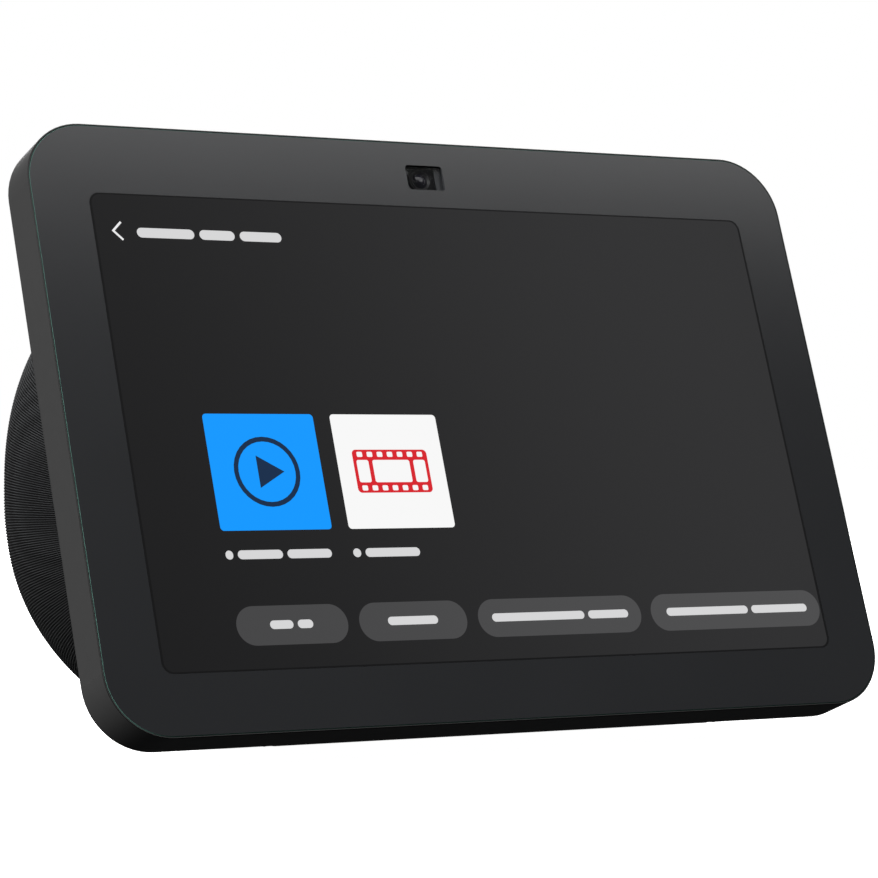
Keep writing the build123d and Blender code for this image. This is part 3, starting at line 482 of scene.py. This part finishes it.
# ------------------------------------------------------------------ screen picture
# Places and sizes on the screen are in mm from the middle of the slab's front, x right and y up.
SCREEN_X, SCREEN_Y = 0.33, -1.29
PRINT_OPENING = (173.3, 108.3, 2.6)     # width, height, corner
LIT_AREA = (172.2, 107.6, 2.2)
CHEVRON = [(-79.6, 46.1), (-81.7, 44.0), (-79.6, 41.9)]
CHEVRON_STROKE = 0.5
WORD_GAP = 0.55                         # between placeholder bars, as a share of their height
HEADING = (-76.1, -40.6, 43.75, 2.3)    # left, right, y, height
HEADING_WORDS = (8, 5, 6)               # letters in each word
TILE_WIDTH = 27.0
TILE_HEIGHT = 26.5
TILE_CORNER = 0.9
TILE_Y = -11.3
BLUE_TILE_X = -54.1
PALE_TILE_X = -22.9
RING_OUTER = 8.0
RING_INNER = 6.9
SIGN_LEFT, SIGN_RIGHT, SIGN_HALF = 2.2, 4.2, 3.7    # the play sign's reach from the tile's middle
FILM = (19.0, 10.0, 1.0)                # width, height, corner
FILM_FRAME = (9.4, 5.2, 0.5)
FILM_SIDE_FRAME = (3.0, 5.2, 0.5)
FILM_SIDE_X = 7.2
FILM_HOLE = (1.4, 1.2, 0.3)
FILM_HOLE_PITCH = 2.55
FILM_HOLE_Y = 3.9
# Each caption: left, right, y, height, letters in each word.
CAPTIONS = [(-67.4, -41.7, -29.95, 2.0, (1, 6, 6)), (-36.4, -19.6, -30.0, 2.0, (1, 7))]
PILL_HEIGHT = 8.7
PILL_Y = -45.7
# Each pill: left, right. Each pill's label: left, right, letters in each word.
PILLS = [(-67.6, -40.7), (-37.9, -10.8), (-7.9, 35.4), (38.2, 86.1)]
PILL_BAR = 1.9
PILL_BAR_Y = -45.6
PILL_LABELS = [
    (-59.6, -49.2, (3, 2)),
    (-30.8, -18.2, (1,)),
    (-4.3, 31.9, (9, 4)),
    (42.5, 82.4, (10, 7)),
]


def label(left, right, y, height, words):
    """A line of placeholder bars, as wide as a label of so many words."""
    gap = height * WORD_GAP
    total = right - left - gap * (len(words) - 1)
    bars = []
    place = left
    for share in words:
        width = total * share / sum(words)
        bars.append(rounded_outline(width, height, height / 2, place + width / 2, y, 6))
        place += width + gap
    return bars


def ring_strip(name, outer, inner, layer, material):
    """A flat ring between two outlines with the same number of points."""
    count = len(outer)
    verts = [SLAB @ Vector((x * MM, y * MM, layer * LAYER)) for x, y in outer + inner]
    faces = [[i, (i + 1) % count, count + (i + 1) % count, count + i] for i in range(count)]
    new_piece(name, verts, faces, material)


def plain_picture(name, *srgb):
    """A lit part of the screen's picture in one colour."""
    return picture(name, srgb, srgb)


def make_picture():
    """The screen's picture: ground, back arrow, heading, tiles and a row of pills."""
    ground = picture("picture_ground", (24, 24, 25), (46, 46, 47), (1, 0, 0.15), 0.1)
    # Painted shade: a dark glowing ring between the print's opening and the lit area stands in for the
    # shade in the gap there.
    gap_shade = picture("picture_gap_shade", (15, 15, 16), (19, 19, 20))
    outer = rounded_outline(*PRINT_OPENING, SCREEN_X, SCREEN_Y)
    inner = rounded_outline(*LIT_AREA, SCREEN_X, SCREEN_Y)
    ring_strip("screen_gap_shade", outer, inner, 1, gap_shade)
    sheet_of_light("screen_ground", [inner], 1, ground)
    white = plain_picture("picture_white", 236, 236, 237)
    grey = picture("picture_pill", (68, 68, 69), (77, 77, 78))
    soft = plain_picture("picture_label", 214, 214, 215)
    sheet_of_light("back_arrow", [stroke(CHEVRON, CHEVRON_STROKE)], 2, white)
    sheet_of_light("heading_bars", label(*HEADING, HEADING_WORDS), 2, soft)
    make_tiles(soft)
    pills = [
        rounded_outline(right - left, PILL_HEIGHT, PILL_HEIGHT / 2, (left + right) / 2, PILL_Y)
        for left, right in PILLS
    ]
    sheet_of_light("genre_pills", pills, 2, grey)
    bars = []
    for left, right, words in PILL_LABELS:
        bars += label(left, right, PILL_BAR_Y, PILL_BAR, words)
    sheet_of_light("pill_bars", bars, 3, soft)


def make_tiles(soft):
    """Two tiles with plain icons: a play sign in a ring, and a strip of film."""
    blue = plain_picture("picture_blue", 12, 152, 255)
    navy = plain_picture("picture_navy", 20, 44, 74)
    red = plain_picture("picture_red", 214, 34, 44)
    pale = plain_picture("picture_pale", 247, 247, 247)
    for name, middle, colour in (("tile_blue", BLUE_TILE_X, blue), ("tile_pale", PALE_TILE_X, pale)):
        tile = rounded_outline(TILE_WIDTH, TILE_HEIGHT, TILE_CORNER, middle, TILE_Y)
        sheet_of_light(name, [tile], 2, colour)
    outer, inner = (circle_outline(radius, BLUE_TILE_X, TILE_Y) for radius in (RING_OUTER, RING_INNER))
    ring_strip("play_ring", outer, inner, 3, navy)
    sign = [
        (BLUE_TILE_X - SIGN_LEFT, TILE_Y - SIGN_HALF),
        (BLUE_TILE_X + SIGN_RIGHT, TILE_Y),
        (BLUE_TILE_X - SIGN_LEFT, TILE_Y + SIGN_HALF),
    ]
    sheet_of_light("play_sign", [sign], 3, navy)
    sheet_of_light("film_strip", [rounded_outline(*FILM, PALE_TILE_X, TILE_Y)], 3, red)
    holes = [rounded_outline(*FILM_FRAME, PALE_TILE_X, TILE_Y)]
    for row in (-1, 1):
        for column in range(-3, 4):
            x = PALE_TILE_X + column * FILM_HOLE_PITCH
            holes.append(rounded_outline(*FILM_HOLE, x, TILE_Y + row * FILM_HOLE_Y))
    for side in (-1, 1):
        holes.append(rounded_outline(*FILM_SIDE_FRAME, PALE_TILE_X + side * FILM_SIDE_X, TILE_Y))
    sheet_of_light("film_holes", holes, 4, pale)
    captions = []
    for caption in CAPTIONS:
        captions += label(*caption)
    sheet_of_light("tile_bars", captions, 2, soft)


# ------------------------------------------------------------------ knitted cover
DOME_HALF_WIDTH, DOME_HALF_DEPTH = 92.1 * MM, 65.9 * MM
DOME_UP, DOME_DOWN = 71.0 * MM, 65.9 * MM
PLAN_POWER, UP_POWER, DOWN_POWER = 4.1, 2.42, 2.3
fabric_low, fabric_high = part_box("fabric_cover")
BASE_Z = fabric_low[2]
DOME_Z = BASE_Z + 53.0 * MM
DOME_Y = fabric_high[1] - DOME_HALF_DEPTH
FAN_Y = DOME_Y - 65.0 * MM          # the ribs fan out from a line across, in front of the slab
FAN_Z = DOME_Z - 3.5 * MM
RIB_ANGLE = 0.0063
RIB_DEPTH = 0.3 * MM
LOOP_PITCH = 1.1 * MM
ROWS_PER_RIB = 4
COLUMNS = 96
LOW_TURN = math.radians(-56)        # the fan runs a little past the cover's lower and upper edges
HIGH_TURN = math.radians(50)
FAR_REACH = 260.0 * MM              # further than any part of the dome from the fan's line
HALVINGS = 34                       # enough to find the dome's surface to well under a micron
SWING_HALVINGS = 26
BEHIND_REAR = 0.1 * MM              # a rib is kept if its middle is this far behind the slab
WIDEST_TURN = math.radians(88)      # nearly straight along the fan's line
SIDE_SHARE = 0.35                   # how much the columns crowd towards the sides
NORMAL_STEP = 0.05 * MM             # for slopes of the dome
INLET_OVERLAP = 0.3 * MM            # the inlet's ring covers the cover's edge by about this much


def dome_value(x, y, z):
    """Below 1 inside the dome, 1 on its surface."""
    rise = z - DOME_Z
    upper = rise > 0
    reach = np.where(upper, DOME_UP, DOME_DOWN)
    power = np.where(upper, UP_POWER, DOWN_POWER)
    plan = np.abs(x / DOME_HALF_WIDTH) ** PLAN_POWER
    plan = plan + np.abs((y - DOME_Y) / DOME_HALF_DEPTH) ** PLAN_POWER
    return plan ** (power / PLAN_POWER) + np.abs(rise / reach) ** power


def on_dome(turn, swing):
    """Where rays from the middle of the fan's line meet the dome.

    The turn is the rib's angle, and the swing goes sideways along it.
    """
    dx = np.sin(swing)
    dy = np.cos(swing) * np.cos(turn)
    dz = np.cos(swing) * np.sin(turn)
    near = np.full(np.shape(dx), 1 * MM)
    far = np.full(np.shape(dx), FAR_REACH)
    for _ in range(HALVINGS):
        middle = (near + far) / 2
        inside = dome_value(dx * middle, FAN_Y + dy * middle, FAN_Z + dz * middle) < 1
        near = np.where(inside, middle, near)
        far = np.where(inside, far, middle)
    return dx * near, FAN_Y + dy * near, FAN_Z + dz * near


def behind_slab(x, y, z):
    """How far a point lies behind the slab's rear face."""
    depth = -((y - CENTRE.y) * OUT.y + (z - CENTRE.z) * OUT.z)
    return depth - SLAB_REAR


def widest_swing(turn):
    """For each rib, the sideways angle at which it reaches the slab's rear face."""
    near = np.zeros_like(turn)
    far = np.full_like(turn, WIDEST_TURN)
    for _ in range(SWING_HALVINGS):
        middle = (near + far) / 2
        out = behind_slab(*on_dome(turn, middle)) > 0
        near = np.where(out, middle, near)
        far = np.where(out, far, middle)
    return near


def dome_normal(x, y, z):
    """The dome's outward normal, from small steps along each axis."""
    step = NORMAL_STEP
    normal = np.stack([
        dome_value(x + step, y, z) - dome_value(x - step, y, z),
        dome_value(x, y + step, z) - dome_value(x, y - step, z),
        dome_value(x, y, z + step) - dome_value(x, y, z - step),
    ], -1)
    return normal / np.linalg.norm(normal, axis=-1, keepdims=True)


def make_cover():
    """The knitted cover: rows along the ribs, sunk between them, with columns from side to side."""
    rows = int((HIGH_TURN - LOW_TURN) / RIB_ANGLE * ROWS_PER_RIB)
    turn = LOW_TURN + np.arange(rows + 1) * RIB_ANGLE / ROWS_PER_RIB
    reach = behind_slab(*on_dome(turn, np.zeros_like(turn)))
    turn = turn[reach > BEHIND_REAR]
    even = np.linspace(-1, 1, COLUMNS + 1)
    share = np.sin(even * math.pi / 2) * SIDE_SHARE + even * (1 - SIDE_SHARE)
    swing = widest_swing(turn)[:, None] * share[None, :]
    grid_turn = np.repeat(turn[:, None], COLUMNS + 1, axis=1)
    x, y, z = on_dome(grid_turn, swing)
    wave = (np.cos(grid_turn / RIB_ANGLE * 2 * math.pi) - 1) / 2
    points = np.stack([x, y, z], -1) + dome_normal(x, y, z) * (wave * RIB_DEPTH)[..., None]
    verts = points.reshape(-1, 3)
    count = COLUMNS + 1
    faces = []
    for row in range(len(turn) - 1):
        for column in range(COLUMNS):
            corner = row * count + column
            faces.append((corner, corner + 1, corner + count + 1, corner + count))
    cover = new_piece("knit_cover", verts, faces, knit(), smooth=True)
    trim_cover(cover)
    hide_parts("fabric_cover")


def trim_cover(cover):
    """Cuts the cover flat at the base and opens it round the power inlet."""
    mesh = bmesh.new()
    mesh.from_mesh(cover.data)
    whole = mesh.verts[:] + mesh.edges[:] + mesh.faces[:]
    bmesh.ops.bisect_plane(
        mesh, geom=whole, plane_co=(0, 0, BASE_Z), plane_no=(0, 0, -1), clear_outer=True, dist=1e-6
    )
    low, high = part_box("power_inlet_ring")
    centre_z = (low[2] + high[2]) / 2
    radius = (high[0] - low[0]) / 2
    gone = []
    for face in mesh.faces:
        middle = face.calc_center_median()
        if middle.y > 0 and math.hypot(middle.x, middle.z - centre_z) < radius - INLET_OVERLAP:
            gone.append(face)
    bmesh.ops.delete(mesh, geom=gone, context="FACES")
    mesh.to_mesh(cover.data)
    mesh.free()


# ------------------------------------------------------------------ stage, light and camera
CAMERA = Vector((-0.38098, -0.64759, 0.06428 + BASE_Z))
CAMERA_AXIS = Vector((0.51607, 0.85654, 0.0016))
FOCAL_LENGTH = 132.38
SENSOR = 36.0
FLOOR_HALF = 6.0                    # half the width of the floor
AMBIENT = (0.025, 0.0255, 0.026, 1)
WHITE = (1, 1, 1, 1)
# Each soft light: name, place, the point it faces, size, watts.
SOFTBOXES = [
    ("top_box", (0.72, -0.63, 1.11), (0.72, 0, 0.07), (1.2, 0.5), 5.0),
    ("back_box", (0.55, 1.35, 1.15), (0, 0, 0.06), (1.2, 1.0), 34),
    ("left_box", (-1.35, -0.25, 0.95), (0, 0, 0.08), (0.8, 0.8), 46),
]


def add_floor():
    """A plain white floor that lights nothing."""
    mesh = bpy.data.meshes.new("floor")
    corners = [(x * FLOOR_HALF, y * FLOOR_HALF, 0) for x, y in ((-1, -1), (1, -1), (1, 1), (-1, 1))]
    mesh.from_pydata(corners, [], [(0, 1, 2, 3)])
    floor = bpy.data.objects.new("floor", mesh)
    bpy.context.scene.collection.objects.link(floor)
    nodes = Nodes("pale_floor")
    nodes.set(Base_Color=(0.9, 0.9, 0.9, 1), Roughness=0.9, Emission_Strength=1.0)
    nodes.set(Emission_Color=WHITE, Specular_IOR_Level=0.1)
    mesh.materials.append(nodes.material)
    floor.visible_diffuse = False
    floor.visible_glossy = False


def add_softbox(name, place, target, size, power):
    """A rectangular soft light that faces a target."""
    light = bpy.data.lights.new(name, "AREA")
    light.shape = "RECTANGLE"
    light.size, light.size_y = size
    light.energy = power
    lamp = bpy.data.objects.new(name, light)
    bpy.context.scene.collection.objects.link(lamp)
    lamp.location = place
    lamp.rotation_euler = (Vector(target) - Vector(place)).to_track_quat("-Z", "Y").to_euler()


def add_world():
    """White to the camera, faint grey as light."""
    world = bpy.data.worlds.new("studio")
    bpy.context.scene.world = world
    world.use_nodes = True
    tree = world.node_tree
    background = tree.nodes["Background"]
    background.inputs["Color"].default_value = AMBIENT
    seen = tree.nodes.new("ShaderNodeBackground")
    seen.inputs["Color"].default_value = WHITE
    path = tree.nodes.new("ShaderNodeLightPath")
    mix = tree.nodes.new("ShaderNodeMixShader")
    tree.links.new(path.outputs["Is Camera Ray"], mix.inputs["Fac"])
    tree.links.new(background.outputs[0], mix.inputs[1])
    tree.links.new(seen.outputs[0], mix.inputs[2])
    tree.links.new(mix.outputs[0], tree.nodes["World Output"].inputs["Surface"])


def add_camera():
    """The photograph's camera, in the object's frame."""
    data = bpy.data.cameras.new("camera")
    data.lens = FOCAL_LENGTH
    data.sensor_width = SENSOR
    data.clip_start = 0.01
    camera = bpy.data.objects.new("camera", data)
    bpy.context.scene.collection.objects.link(camera)
    camera.location = CAMERA
    camera.rotation_euler = CAMERA_AXIS.to_track_quat("-Z", "Y").to_euler()
    bpy.context.scene.camera = camera


dress_nodes()
make_picture()
make_cover()
add_floor()
add_world()
for softbox in SOFTBOXES:
    add_softbox(*softbox)
add_camera()
bpy.context.scene.view_settings.view_transform = "Standard"
